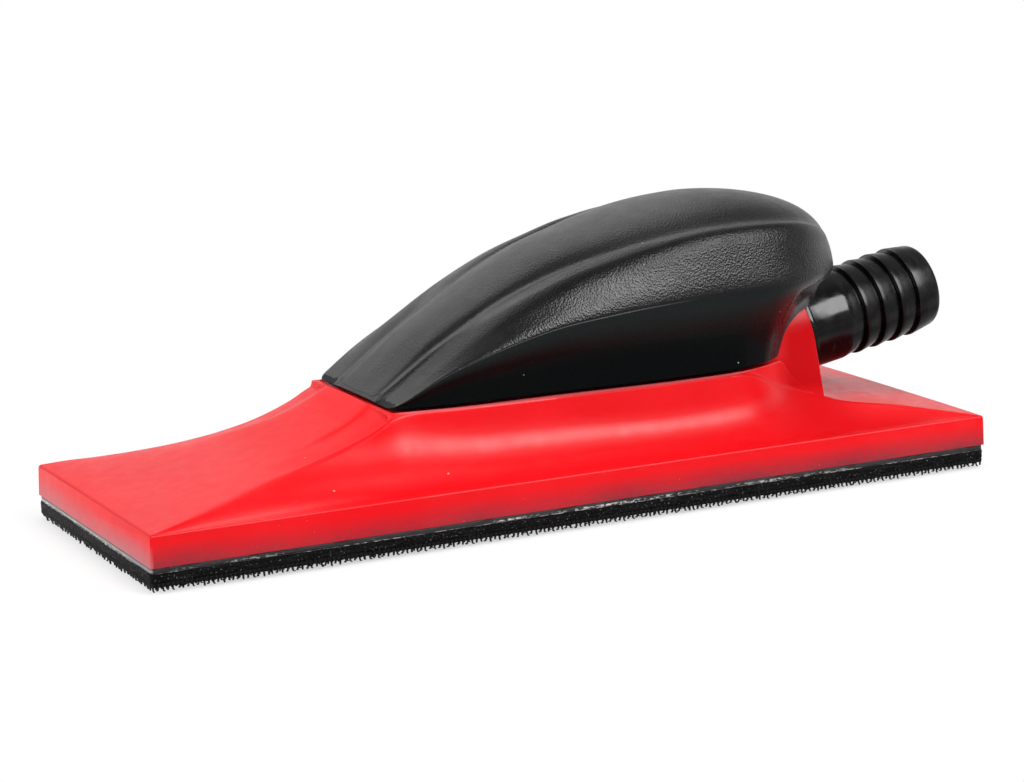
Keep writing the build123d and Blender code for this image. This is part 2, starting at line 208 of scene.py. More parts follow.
# (station, height)
crown_table = [(-39.4, 27.1), (-32.4, 32.9), (-27.4, 37.2), (-18.9, 42.9), (-5.4, 50.5),
               (3.5, 54.7), (11.6, 57.2), (20, 59.4), (30, 61.5), (38, 62.6), (45, 63.1)]
# (station, half width, height)
ridge_table = [(-39.4, 10.4, 26.95), (-32.4, 11.0, 31.9), (-27.4, 11.2, 35.4), (-18.9, 11.8, 40.6),
               (-14, 12.3, 43.5), (-5.4, 13.5, 47.8), (3.2, 15.2, 51.2), (12.1, 16.9, 53.7),
               (18.6, 18.4, 55.3), (24.9, 19.7, 56.6), (35, 21.0, 58.0), (45, 21.4, 58.5)]
parting_table = [(-39.4, 18.9, 26.85), (-36.5, 20.1, 28.3), (-32.3, 21.2, 30.7), (-26.3, 22.5, 33.7),
                 (-20.4, 23.6, 36.0), (-11.4, 24.8, 38.9), (-2.2, 25.7, 41.1), (7.0, 26.4, 42.3),
                 (14.6, 26.9, 43.1), (22.4, 27.3, 43.7), (31, 27.5, 44.2), (45, 27.6, 44.5)]
# (station, how far the shoulder's top lies above the ridge)
shoulder_table = [(-39.4, -0.35), (-34, -0.55), (-29, -0.5), (-19, -0.15), (-5, 0.2), (8, 0.35),
                  (18, 0.35), (26, 0.15), (34, 0.1), (45, -0.1)]
# (share of the way out, share of the way up) from the parting line to the shoulder's top
shoulder_profile = [(0.92, 0.30), (0.76, 0.58), (0.57, 0.83), (0.42, 0.92), (0.22, 0.98)]
# (share of the way up the flank, steady hollow, hollow for each millimetre of height)
flank_hollows = [(0.1, 0.0, 0.035), (0.42, 0.15, 0.085), (0.78, 0.0, 0.012)]
nose_corner = 2.0
tip_narrowing, tip_fall, crown_fall = 0.97, 0.93, 0.2
panel_power = 2.1
# (station, half width, height) of the lower edge behind the fullest station
edge_path = [(45, 22.1, 26.7), (52.5, 19.1, 26.7), (56.2, 16.6, 26.8), (57.3, 16.35, 29.2),
             (58.6, 16.3, 32.2), (60.8, 15.9, 34.6), (63.2, 15.2, 36.1), (65.6, 14.4, 36.9),
             (69.5, 11.2, 38.0), (72, 8.6, 40.0), (74.4, 5.7, 42.4), (76.3, 2.8, 44.6), (76.9, 0, 46.0)]


def column(table, k):
    """The station and the k-th value of every row, as pairs."""
    return [(row[0], row[k]) for row in table]


# %% Rows of the grip
def grip_keys(front, swing):
    """Key rows from seam to crown. front are stations up to the fullest one and swing the
    angles of the ellipse behind it: half widths and heights shrink with its cosine."""
    x = np.concatenate([front, bulge_station + (tip_station - bulge_station) * np.sin(swing)])
    shrink = np.concatenate([np.ones_like(front), np.cos(swing)])
    flat = np.minimum(x, bulge_station)
    crown = smooth(crown_table, flat)
    ridge_y, ridge_z = smooth(column(ridge_table, 1), flat), smooth(column(ridge_table, 2), flat)
    part_y, part_z = smooth(column(parting_table, 1), flat), smooth(column(parting_table, 2), flat)
    into_nose = np.clip(nose_corner - (x - grip_front), 0, nose_corner)
    nose = nose_corner - np.sqrt(np.maximum(nose_corner**2 - into_nose**2, 0))
    in_front = x < bulge_station
    edge_y = np.where(in_front, seam_half_width(flat), easy(column(edge_path, 1), x)) - nose
    edge_z = np.where(in_front, seat_height, easy(column(edge_path, 2), x))
    part_y = part_y - nose * step(6, 0, x - grip_front)
    narrow = shrink**tip_narrowing
    rise = part_z - seat_height
    top_y = ridge_y + 1.1
    top_z = ridge_z + easy(shoulder_table, flat)

    def row(y, z):
        """One row above the parting line. Towards the tip it is drawn onto the ellipse through
        crown and parting line, so the section rounds off, and it shrinks to the tip's point."""
        high = (z - part_z) / (crown - part_z)
        reach = np.hypot(y / part_y, high)
        draw = (1 + (reach - 1) * (1 - step(0.05, 0.6, 1 - shrink))) / reach
        full = part_z + (z - part_z) * draw
        height = tip_height + (full - tip_height) * shrink ** (tip_fall - crown_fall * high)
        return np.stack([x, y * narrow * draw, height], -1)

    parting = row(part_y, part_z + 0 * x)
    edge = np.stack([x, edge_y, edge_z], -1)
    flank = []
    for share, steady, by_height in flank_hollows:
        hollow = edge + (parting - edge) * share
        hollow[:, 1] -= (steady + by_height * rise) * shrink
        flank.append(hollow)
    shoulder = [row(top_y + (part_y - top_y) * out, part_z + (top_z - part_z) * up)
                for out, up in shoulder_profile]
    panel_rise = crown - ridge_z
    panel = [
        row(ridge_y + 0.2, ridge_z - 0.06),
        row(ridge_y - 0.9, ridge_z - 0.02),
        row(ridge_y * 0.82, crown - panel_rise * 0.73),
        row(ridge_y * 0.5, crown - panel_rise * 0.5**panel_power),
        row(0 * x, crown),
    ]
    return np.stack([edge, *flank, parting, *shoulder, row(top_y, top_z), *panel])


# %% Underside of the grip
def underside_rows(left):
    """Rows that close the grip underneath, worked out from its far edge. In front they run
    straight across. Behind the seat they lie on an arc about the connector's axis, at the
    edge's own distance from it, and each point's angle is a share of the way round."""
    seat_end, arch_start, row_count = 56, 57.5, 15
    axis_z = axis_level(left[:, 0])
    radius = np.hypot(left[:, 1], left[:, 2] - axis_z)
    lift = step(seat_end, arch_start, left[:, 0])
    turn = np.linspace(0, 1, row_count + 2)[1:-1, None]
    start = np.arctan2(left[:, 2] - axis_z, -left[:, 1])
    angle = start * (1 - turn) + (math.pi - start) * turn
    arc_y = -radius * np.cos(angle)
    arc_z = axis_z + radius * np.sin(angle)
    flat_y = -left[:, 1] * (1 - 2 * turn)
    under_y = np.where(lift > 0, arc_y, flat_y)
    under_z = left[:, 2] + (arc_z - left[:, 2]) * lift
    return np.stack([np.broadcast_to(left[:, 0], under_y.shape), under_y, under_z], -1)

# %% [markdown]
# The underside has a known fault. The flat rows run from the near side to the far one, and
# the rows of the arch run the other way. The mesh is closed, but it is twisted behind the
# seat: two flat sheets cross the arch under the tail and cut into the connector. They show
# from the hose end. The mend is to give arc_y the opposite sign.

# %% Build the grip
front_count, front_crowding, tip_count = 150, 1.12, 90
spacing_station, row_gap = 110, 0.8
front_share = np.linspace(0, 1, front_count) ** front_crowding
front_stations = grip_front + (bulge_station - grip_front) * front_share
tip_swing = np.linspace(0, math.pi / 2, tip_count)[1:]
half_keys = grip_keys(front_stations, tip_swing)
mirror = np.array([1, -1, 1])
all_keys = np.concatenate([half_keys, half_keys[-2::-1] * mirror])
gaps = np.linalg.norm(np.diff(half_keys[:, spacing_station], axis=0), axis=1)
knots = np.concatenate([[0], np.cumsum(np.concatenate([gaps, gaps[::-1]]))])
middle = len(gaps)
steps = [np.linspace(a, b, max(2, round((b - a) / row_gap)), endpoint=False)
         for a, b in zip(knots[:middle], knots[1:])]
fine_half = np.concatenate(steps + [knots[middle : middle + 1]])
fine = np.concatenate([fine_half, 2 * knots[middle] - fine_half[-2::-1]])
grip_skin = across(all_keys, knots, fine)
ring = np.concatenate([grip_skin, underside_rows(grip_skin[0])]).transpose(1, 0, 2)
grip = surface("grip", ring, around=True, caps=True, sharp=40)

# %% [markdown]
# The finishes need to know two things that a shader can't read by itself: how steep a surface
# stands, and how far up the shoulder a point lies. Both are kept on the mesh as attributes.

# %% Values kept on the mesh
def keep_values(piece, name, values):
    """Keeps one number at every point of a piece, under a name that its finish can read."""
    piece.data.attributes.new(name, "FLOAT", "POINT").data.foreach_set("value", values)
    print(piece.name, name, "from", round(float(values.min()), 2), "to", round(float(values.max()), 2))


def mark_steepness(piece):
    """Keeps 1 minus the upright part of the normal: 0 is level and 1 is upright."""
    normals = np.array([corner.normal for corner in piece.data.vertices])
    keep_values(piece, "steep", 1 - np.abs(normals[:, 2]))


def mark_shoulder(piece):
    """Keeps each point's share of the way from the parting line (0) up to the ridge (1). Both
    lines fall to the tip's height as the stations draw in on their ellipse."""
    ridge_fall, least_height = 0.78, 0.5
    x, _, z = np.array([corner.co for corner in piece.data.vertices]).T * 1000
    flat = np.clip(x, grip_front, bulge_station)
    into_tip = np.clip((x - bulge_station) / (tip_station - bulge_station), 0, 1)
    shrink = np.sqrt(np.clip(1 - into_tip**2, 0, 1))
    low = tip_height + (smooth(column(parting_table, 2), flat) - tip_height) * shrink**tip_fall
    high = tip_height + (smooth(column(ridge_table, 2), flat) - tip_height) * shrink**ridge_fall
    keep_values(piece, "climb", np.clip((z - low) / np.maximum(high - low, least_height), -1, 2))


mark_shoulder(grip)

# %% [markdown]
# ## The red base
# The base is one moulding too: a straight side wall with a little draft, hollow flanks, a
# ramp in front, a lip round the grip's seam and a flat deck behind the neck. Its section
# changes all along, but every section has the same features, so it is again a set of
# lengthwise rows: foot, wall, rounded edge, flank, crease and the rows inside the crease.
# Corner cutting across the rows then rounds each crease by about half the row spacing.

# %% Lines that shape the base
# (station, half width, height) of the crease between flank and deck
crease_table = [(-99, 34.9, 11.65), (-94, 32.9, 12.6), (-88.6, 30.1, 13.35), (-80.5, 26.7, 14.45),
                (-72.7, 24.0, 15.5), (-67.9, 22.7, 16.2), (-63.2, 21.6, 17.0), (-58.7, 20.9, 18.0),
                (-54.5, 20.6, 19.1), (-48.7, 20.7, 21.0), (-44.8, 20.9, 22.6), (-41.5, 21.0, 24.3),
                (-39.0, 21.0, 25.2), (-36, 21.1, 25.65), (-31, 21.9, 25.8), (-24, 22.9, 25.85),
                (-10, 23.5, 25.8), (2, 24.0, 25.75), (15.5, 24.9, 25.7), (24, 25.2, 25.7),
                (32, 25.1, 25.7), (39.6, 24.7, 25.6), (43.5, 24.1, 25.35), (46.5, 23.3, 24.6),
                (50, 21.9, 22.9), (53.25, 20.5, 21.1), (57, 18.9, 19.5), (60.5, 17.7, 18.3),
                (64, 16.9, 17.4), (67.25, 16.7, 16.8), (70.5, 18.1, 15.8), (73.5, 19.7, 15.15),
                (81.7, 24.6, 14.3), (90.7, 30.0, 13.0), (99, 34.9, 11.65)]
# (station, half width) and (station, height) of the wall that leads down behind the grip
wall_path_y = [(44, 22.85), (48, 21.6), (51, 20.35), (54, 18.8), (56.5, 17.55), (59, 16.75),
               (61.5, 16.35), (64, 16.24), (68, 16.22)]
wall_path_z = [(-99, 26.2), (56, 26.2), (57.3, 25.6), (59, 23.4), (61, 21.1), (63, 19.4),
               (65, 18.0), (67.3, 16.9), (99, 12)]
# (station, half width) and (station, height over the crease) of the inner line on the ramp
ramp_line_y = [(-99, 15.5), (-70, 14.6), (-58, 13.2), (-52.7, 12.3), (-48, 12.0), (-41.2, 11.1)]
ramp_line_z = [(-99, 0.05), (-75, 0.6), (-63.2, 1.1), (-58.1, 1.3), (-52.7, 1.45), (-48.1, 1.6),
               (-44, 1.75), (-41.2, 1.9)]
# (station, depth of the flank's hollow)
hollow_table = [(-99, 0), (-80, 0.9), (-60, 2.3), (-39, 3.3), (0, 3.5), (40, 3.3), (60, 2.2),
                (80, 0.9), (99, 0)]
hollow_skew = 0.9
fillet = 0.45
draft = math.tan(math.radians(1.5))
lip_height = seat_height - 0.5
seat_floor = seat_height - 1.1
ramp_length = 59.6
# stations over which each form of the inner rows gives way to the next
form_runs = [(-41.0, -40.7), (42, 47), (56.3, 57.4), (66.7, 67.6)]
print(len(crease_table), "stations along the crease, draft", round(draft, 4))


# %% Rows of the base
def flank_rows(x, crease_y, crease_z):
    """Flank from the wall's rounded edge up to the crease: a chord pushed in by a parabola."""
    hollow = easy(hollow_table, x)
    t = np.linspace(0, 1, 15)[:, None]
    run, rise = crease_y - (half_width - fillet), crease_z - edge_height
    chord = np.hypot(run, rise) + 1e-9
    skew = t**hollow_skew
    bow = 4 * skew * (1 - skew) * hollow
    y = half_width - fillet + run * t + bow * -rise / chord
    z = edge_height + rise * t + bow * run / chord
    return y, z


def base_sections(x):
    """Half sections of the base, as rows x stations arrays of Y and Z. Foot, wall and flank are
    the same all along. The seven rows inside the crease have five forms in turn (ramp, seat,
    fall, beside the neck, rear deck), and each gives way to the next over a short run."""
    crease_y, crease_z = smooth(column(crease_table, 1), x), smooth(column(crease_table, 2), x)
    flank_y, flank_z = flank_rows(x, crease_y, crease_z)
    ones = np.ones_like(x)
    foot_y = half_width + draft * (edge_height - base_bottom)
    corner = np.radians([0, 30, 60])[:, None]
    corner_y = half_width - fillet + fillet * np.cos(corner) * ones
    corner_z = edge_height - fillet + fillet * np.sin(corner) * ones

    t = np.clip((x + half_length) / ramp_length, 0, 1)
    line_y = easy(ramp_line_y, x)
    line_z = crease_z + easy(ramp_line_z, x)
    sunk = 0.32 * step(-64, -50, x)
    front_ramp = (
        [crease_y - 0.7, crease_y * 0.62 + line_y * 0.38, line_y + 2.2, line_y + 0.9, line_y,
         line_y * 0.55, line_y * 0],
        [crease_z + 0.12 * t, crease_z * 0.55 + line_z * 0.45 - 0.1 * t, line_z - 0.25 * t - sunk,
         line_z - sunk * 0.8, line_z + 0.1 * t, line_z + 0.35 * t, line_z + 0.45 * t],
    )
    seam = seam_half_width(x)
    lip = np.where(x < 44, seam + 0.5, easy(wall_path_y, x))
    floor = seat_floor * ones
    under_grip = [seam + 0.15, seam - 0.8, seam * 0.5, seam * 0]
    seat = (
        [crease_y - 0.3 * (crease_y - lip), lip + 0.25, lip, *under_grip],
        [crease_z + 0.3, lip_height * ones, (lip_height - 0.12) * ones, *[floor] * 4],
    )
    wall_top = easy(wall_path_z, x)
    shelf, wall_rise = crease_y - lip, wall_top - crease_z
    fall_y = [lip + 0.45 * shelf, lip + 0.12 * shelf, lip]
    fall_z = [crease_z + 0.2 * wall_rise, crease_z + 0.6 * wall_rise, wall_top]
    fall = ([*fall_y, *under_grip], [*fall_z, *[floor] * 4])
    beside_neck = (
        [*fall_y, lip - 0.4, lip - 1, 8 * ones, 0 * ones],
        [*fall_z, wall_top - 0.2, crease_z, crease_z, crease_z],
    )
    rear = (
        [crease_y * share for share in (0.97, 0.92, 0.85, 0.7, 0.5, 0.25, 0)],
        [crease_z + rise for rise in (0.02, 0.04, 0.06, 0.1, 0.14, 0.16, 0.17)],
    )
    blends = [step(*run, x) for run in form_runs]
    inner = [np.array(front_ramp[0]), np.array(front_ramp[1])]
    for form, share in zip((seat, fall, beside_neck, rear), blends):
        inner = [old * (1 - share) + np.array(new) * share for old, new in zip(inner, form)]
    # the narrow strip in front of the grip, level with the lip
    strip = blends[0] * step(-39.0, -39.5, x)
    inner[1][1:] += strip * (seat_height - 0.45 - inner[1][1:])
    y = np.concatenate([[foot_y * ones], corner_y, flank_y, inner[0]])
    z = np.concatenate([[base_bottom * ones], corner_z, flank_z, inner[1]])
    return y, z


def soften(rows, share, rounds):
    """Draws every inner row towards its neighbours, by its own share at each station."""
    for _ in range(rounds):
        rows[1:-1] += share * ((rows[:-2] + rows[2:]) / 2 - rows[1:-1])
    return rows


def cut_corners(rows):
    """One round of corner cutting across the rows; the first and last rows stay."""
    near = 0.75 * rows[:-1] + 0.25 * rows[1:]
    far = 0.25 * rows[:-1] + 0.75 * rows[1:]
    mixed = np.stack([near, far], 1).reshape(-1, *rows.shape[1:])
    return np.concatenate([rows[:1], mixed[1:-1], rows[-1:]])


# %% Build the base
wall_rows = 4
blunt_rows = slice(9, 24)
detail = [np.linspace(-41.4, -38.6, 29), np.linspace(55.8, 58, 23), np.linspace(66.4, 67.8, 9)]
rim = half_length - fillet + fillet * np.sin(np.radians([0, 30, 60, 90]))
stations = np.concatenate([np.linspace(-98.4, 98.4, 190), *detail, rim, -rim])
stations = np.unique(np.round(stations, 3))
y, z = base_sections(stations)
rows = np.stack([np.broadcast_to(stations, y.shape), y, z], -1)
blunt = (0.8 * step(-60, -84, stations))[:, None]
rows[blunt_rows] = soften(rows[blunt_rows], blunt, 4)
rows = np.concatenate([rows[:wall_rows], cut_corners(rows[wall_rows:])])
# the ends are rounded along their top edge, and have the same draft as the sides
in_from_end = np.clip(fillet - (half_length - np.abs(stations)), 0, fillet)
drop = fillet - np.sqrt(fillet**2 - in_from_end**2)
rows[..., 2] -= drop * step(edge_height - fillet, edge_height - 0.1, rows[..., 2])
base_rows = np.concatenate([rows, rows[-2::-1] * mirror]).transpose(1, 0, 2)
ends = np.sign(base_rows[..., 0]) * (np.abs(base_rows[..., 0]) > half_length - 1e-6)
base_rows[..., 0] += ends * draft * np.clip(edge_height - base_rows[..., 2], 0, None)
base = surface("base", base_rows, around=True, caps=True, sharp=38)
mark_steepness(base)

# %% [markdown]
# ## The neck
# Behind the grip the base rises in an arch that holds the hose connector. It is a bar with
# a round top and straight legs, square to the tilted axis, so it is an outline carried
# along that axis. Its rim is rounded by shrinking the outline over the last third of a
# millimetre along a quarter circle. It is drawn as a solid bar: the duct that the real neck
# has inside isn't cut here, so the connector's bore ends at the neck's face.

# %% Build the neck
leg_foot = -14.2
rim_round = 0.35


def neck_outline(shrink):
    """Arch outline in the plane square to the axis, as (across, up) points."""
    bend = np.radians(np.linspace(0, 180, 61))
    top = np.stack([np.cos(bend), np.sin(bend)], 1) * (neck_radius - shrink)
    leg = np.linspace(leg_foot, -0.5, 12)[:, None]
    right = np.concatenate([np.full_like(leg, neck_radius - shrink), leg], 1)
    return np.concatenate([right, top, right[::-1] * [-1, 1]])


def on_axis(outline, s):
    """Places (across, up) points at distance s along the connector's axis."""
    centre = axis_point + s * axis_along
    return centre + outline[:, :1] * np.array([0, 1, 0]) + outline[:, 1:] * axis_up


# (distance along the axis, how far the outline has shrunk)
neck_stops = [(s, 0.0) for s in (-44.0, -36.0, -28.0, -22.0)]
for quarter in np.radians(np.linspace(0, 90, 6)):
    shrink = rim_round * (1 - math.cos(quarter))
    neck_stops.append((neck_face - rim_round * (1 - math.sin(quarter)), shrink))
neck_rings = np.stack([on_axis(neck_outline(shrink), s) for s, shrink in neck_stops])
neck = surface("neck", neck_rings, around=True, caps=True, sharp=50)
mark_steepness(neck)

# %% [markdown]
# ## The hose connector
# The connector is a turned shape: a flange that runs against the neck, a plain collar, four
# saw-tooth barbs that let a hose slide on and hold it, and a bored tip. Its profile is a list
# of radius and distance points, closer together where an edge is rounded, and the list is
# spun about the axis.

# %% Profile of the connector
barb_pitch = 4.86
first_barb = -0.63
tip = 20.15
root = -24.0
bore, barb_crest, collar, flange = 7.8, 10.5, 10.52, 12.0
# (radius, distance along the axis): the bore and the bevelled tip
profile = [(bore, root), (bore, 10.0), (7.85, tip - 0.6), (8.1, tip - 0.15), (8.4, tip)]
profile += [(8.98, tip), (9.4, tip - 0.12), (9.65, tip - 0.5), (9.78, tip - 1.1), (10.1, tip - 3.2)]
# each barb: its crest, the undercut behind it and the slope up to the next one
barb_steps = [(barb_crest, 0.45), (10.46, 0.12), (10.36, 0), (9.3, -0.03), (9.15, -0.12), (9.12, -0.6),
              (9.25, -0.8), (9.85, -0.95), (10.02, -1.6), (10.2, -2.6), (10.38, -3.7)]
for barb in (3, 2, 1, 0):
    start = first_barb + barb * barb_pitch
    profile += [(r, start + s) for r, s in barb_steps]
# the collar, the flange with its fine groove, and the journal inside the neck
profile += [(barb_crest, first_barb - 4.2), (collar, -5.4), (collar, -8.0), (collar, -14.4),
            (10.62, -14.75), (10.9, -14.95), (11.6, -15.0), (11.88, -15.1), (flange, -15.4),
            (flange, -16.2), (11.92, -16.35), (11.92, -16.6), (flange, -16.75), (flange, -18.1),
            (11.85, -18.4), (10.3, -18.4), (10.3, root)]

# %% Build the connector
radius, distance = np.array(profile).T[..., None, None]
turns = np.radians(np.arange(0, 360, 2.5))[:, None]
round_axis = np.cos(turns) * np.array([0, 1, 0]) + np.sin(turns) * axis_up
spun = axis_point + distance * axis_along + radius * round_axis
connector = surface("connector", np.concatenate([spun, spun[:1]]), around=True, sharp=32)

# %% [markdown]
# ## The pad stack
# Under the base lie a thin dark plate, a foam layer and a hook tape, held together by two
# films of contact glue. Cut sheet is never perfectly straight, so each edge wanders by a
# tenth of a millimetre, and the foam's side bulges a little between its glued faces. The
# sheets are drawn whole: the dust holes of the solids aren't cut in them.

# %% Sheet helper
def sheet_ring(length, width, corner, count):
    """Points and outward directions round a rectangle with round corners, evenly spaced."""
    a, b = length / 2 - corner, width / 2 - corner
    parts = []
    for k, centre in enumerate([(a, b), (-a, b), (-a, -b), (a, -b)]):
        turn = np.radians(90 * k + np.linspace(0, 90, 9))
        out = np.stack([np.cos(turn), np.sin(turn)], 1)
        parts.append(np.concatenate([np.array(centre) + corner * out, out], 1))
    loop = np.concatenate(parts + [parts[0][:1]])
    along = np.concatenate([[0], np.cumsum(np.hypot(*np.diff(loop[:, :2], axis=0).T))])
    at = np.linspace(0, along[-1], count, endpoint=False)
    ring = np.stack([np.interp(at, along, loop[:, k]) for k in range(4)], 1)
    ring[:, 2:] /= np.linalg.norm(ring[:, 2:], axis=1, keepdims=True)
    return ring


def wander(count, seed, sizes):
    """A wavy offset round a loop: a few random sine waves of growing frequency."""
    dice = np.random.default_rng(seed)
    round_loop = np.linspace(0, 2 * math.pi, count, endpoint=False)
    waves = dice.uniform(0, 2 * math.pi, len(sizes))
    return sum(size * np.sin(freq * round_loop + wave) for (freq, size), wave in zip(sizes, waves))


def sheet_piece(name, overhang, levels, corner, uneven, seed):
    """A sheet: its side is a list of (height, bulge) rows, closed on top and underneath."""
    count = 720
    waves_round = [(7, 0.4), (31, 0.3), (83, 0.3), (171, 0.35)]
    ring = sheet_ring(2 * half_length + 2 * overhang, 2 * half_width + 2 * overhang, corner, count)
    shape = []
    for k, (level, bulge) in enumerate(levels):
        drift = wander(count, seed + k, waves_round) * uneven
        plan = ring[:, :2] + ring[:, 2:] * (bulge + drift)[:, None]
        shape.append(np.concatenate([plan, np.full((count, 1), level)], 1))
    return surface(name, np.stack(shape), around=True, caps=True, sharp=55)


# %% Build the sheets
plate_side = [(plate_bottom + 0.02, -0.12), (plate_bottom + 0.08, -0.02), (4.5, 0.0),
              (plate_top - 0.06, -0.02), (plate_top, -0.1)]
lower_glue_side = [(foam_top - 0.02, 0.02), (3.86, 0.14), (plate_bottom + 0.03, 0.0)]
upper_glue_side = [(plate_top, 0.0), (4.95, 0.05), (base_bottom, 0.0)]
foam_side = [(tape_top, -0.12), (2.0, 0.0), (2.4, 0.06), (2.9, 0.02), (3.4, 0.07), (3.72, 0.02),
             (foam_top, -0.14)]
tape_side = [(1.02, -0.1), (1.08, 0.02), (1.6, 0.1), (1.86, 0.05), (tape_top, -0.05)]
plate = sheet_piece("plate", 0.0, plate_side, corner=0.8, uneven=0.03, seed=3)
lower_glue = sheet_piece("lower_glue", 0.0, lower_glue_side, corner=0.8, uneven=0.14, seed=11)
upper_glue = sheet_piece("upper_glue", -0.5, upper_glue_side, corner=0.8, uneven=0.1, seed=17)
foam = sheet_piece("foam", 0.14, foam_side, corner=1.0, uneven=0.05, seed=23)
tape = sheet_piece("tape", 0.1, tape_side, corner=1.0, uneven=0.07, seed=31)

# %% [markdown]
# ## The hooks
# The hook tape carries thousands of nylon hooks. Each is drawn as a three-sided strand that
# stands up from the tape and bends over at its end. The hooks stand in woven rows that face
# to the two sides in turn, and each is turned, leaned and scaled by its own random numbers.

# %% Build the hooks
pad_x = half_length + 0.24
pad_y = half_width + 0.24
hook_rows, hooks_in_row = 188, 42
hook_root = 1.4
# along a strand: share of its height, sideways bend and thickness
strand_height = np.array([0.0, 0.55, 0.9, 1.0, 0.8])
strand_bend = np.array([0.0, 0.0, 0.12, 0.36, 0.58])
strand_thick = np.array([0.30, 0.27, 0.24, 0.20, 0.13])


def hook_field(name, seed):
    """Rows of hooks over the whole underside, as whole arrays of hooks x rings x corners. A
    strand's ring lies at its share of the hook's height, moved along the hook's own direction
    by the bend and by its lean, with three corners at the strand's thickness."""
    dice = np.random.default_rng(seed)
    gx, gy = np.meshgrid(np.linspace(-98.6, 98.6, hook_rows), np.linspace(-34.6, 34.6, hooks_in_row),
                         indexing="ij")
    count = gx.size
    px = gx.ravel() + dice.normal(0, 0.07, count)
    py = gy.ravel() + dice.normal(0, 0.07, count)
    px, py = np.clip(px, -98.9, 98.9), np.clip(py, -34.9, 34.9)
    tall = dice.uniform(1.12, 1.38, count)
    facing = np.where(np.arange(count) // hooks_in_row % 2, 1.0, -1.0)
    turn = facing * math.pi / 2 + dice.normal(0, 0.35, count)
    lean = dice.normal(0, 0.10, (count, 2))
    spine_z = hook_root - strand_height[None] * tall[:, None]
    spine_x = px[:, None] + strand_bend * np.cos(turn)[:, None] + lean[:, :1] * strand_height
    spine_y = py[:, None] + strand_bend * np.sin(turn)[:, None] + lean[:, 1:] * strand_height
    ring_turn = turn[:, None, None] + np.radians([0, 120, 240])
    x = spine_x[..., None] + strand_thick[None, :, None] * np.cos(ring_turn)
    y = spine_y[..., None] + strand_thick[None, :, None] * np.sin(ring_turn)
    z = np.broadcast_to(spine_z[..., None], x.shape)
    points = np.stack([np.clip(x, -pad_x, pad_x), np.clip(y, -pad_y, pad_y), np.clip(z, 0.01, 1.5)], -1)
    sides = np.array(grid_faces(5, 3, True))
    end = np.array([[12, 13, 14]])
    shift = (np.arange(count) * 15)[:, None, None]
    faces = (sides + shift).reshape(-1, 4).tolist() + (end + shift).reshape(-1, 3).tolist()
    mesh = bpy.data.meshes.new(name)
    mesh.from_pydata((points.reshape(-1, 3) / 1000).tolist(), [], faces)
    mesh.polygons.foreach_set("use_smooth", np.ones(len(mesh.polygons), bool))
    piece = bpy.data.objects.new(name, mesh)
    bpy.context.collection.objects.link(piece)
    print(name, count, "hooks", len(faces), "faces")
    return piece


hooks = hook_field("hooks", 5)

# %% [markdown]
# ## Finishes
# Every finish is a small node tree on Object coordinates, so its grain keeps its true size
# and stays put when the piece is seen from elsewhere. Colour varies a little with broad noise,
# roughness with finer noise, and a bump gives the grain. The same few steps come back in
# every tree, so each gets a helper: a patch of noise, a scatter of specks, a band round one
# value. Places are in metres here, because that is what the shader reads.

# %% Single nodes
def new_node(socket, kind):
    """A new node in the tree that a socket belongs to."""
    return socket.node.id_data.nodes.new(kind)


def link(output, socket):
    """Leads a node's output into another node's input."""
    socket.node.id_data.links.new(output, socket)


def start_material(name, colour, roughness, specular=1.0):
    """A new material with its plain colour, roughness and specular level set."""
    material = bpy.data.materials.new(name)
    material.use_nodes = True
    shader = material.node_tree.nodes["Principled BSDF"]
    shader.inputs["Base Color"].default_value = (*colour, 1)
    shader.inputs["Roughness"].default_value = roughness
    shader.inputs["Specular IOR Level"].default_value = specular
    place = material.node_tree.nodes.new("ShaderNodeTexCoord")
    return material, shader, place.outputs["Object"]


def feed(shader, name, value):
    """Leads a node's output into one of the shader's inputs."""
    link(value, shader.inputs[name])


def noise(place, size_mm, detail=3.0, stretch=(1, 1, 1)):
    """Noise whose blobs are about size_mm across; stretch lengthens them along an axis."""
    mapping = new_node(place, "ShaderNodeMapping")
    mapping.inputs["Scale"].default_value = [1 / value for value in stretch]
    link(place, mapping.inputs["Vector"])
    node = new_node(place, "ShaderNodeTexNoise")
    node.inputs["Scale"].default_value = 1000 / size_mm
    node.inputs["Detail"].default_value = detail
    link(mapping.outputs["Vector"], node.inputs["Vector"])
    return node.outputs["Fac"]


def cells(place, size_mm):
    """Voronoi cells about size_mm across, as the distance to the cell's middle."""
    node = new_node(place, "ShaderNodeTexVoronoi")
    node.inputs["Scale"].default_value = 1000 / size_mm
    link(place, node.inputs["Vector"])
    return node.outputs["Distance"]


def ramp(value, low, high, out_low=0.0, out_high=1.0):
    """Maps low..high of a value to out_low..out_high and stops at both ends."""
    node = new_node(value, "ShaderNodeMapRange")
    sockets = ("From Min", "From Max", "To Min", "To Max")
    for socket, number in zip(sockets, (low, high, out_low, out_high)):
        node.inputs[socket].default_value = number
    link(value, node.inputs["Value"])
    return node.outputs["Result"]


def maths(kind, a, b):
    """One maths node of two values: a is a socket, and b is a socket or a number."""
    node = new_node(a, "ShaderNodeMath")
    node.operation = kind
    for socket, value in zip(node.inputs, (a, b)):
        if isinstance(value, (int, float)):
            socket.default_value = value
        else:
            link(value, socket)
    return node.outputs[0]


def mixed(share, first, second):
    """Mix of two colours, each a socket or a plain colour."""
    node = new_node(share, "ShaderNodeMix")
    node.data_type = "RGBA"
    link(share, node.inputs["Factor"])
    for socket, value in zip((node.inputs[6], node.inputs[7]), (first, second)):
        if isinstance(value, tuple):
            socket.default_value = (*value, 1)
        else:
            link(value, socket)
    return node.outputs[2]


def axis_value(place, axis):
    """The X, Y or Z of a place."""
    node = new_node(place, "ShaderNodeSeparateXYZ")
    link(place, node.inputs["Vector"])
    return node.outputs[axis]


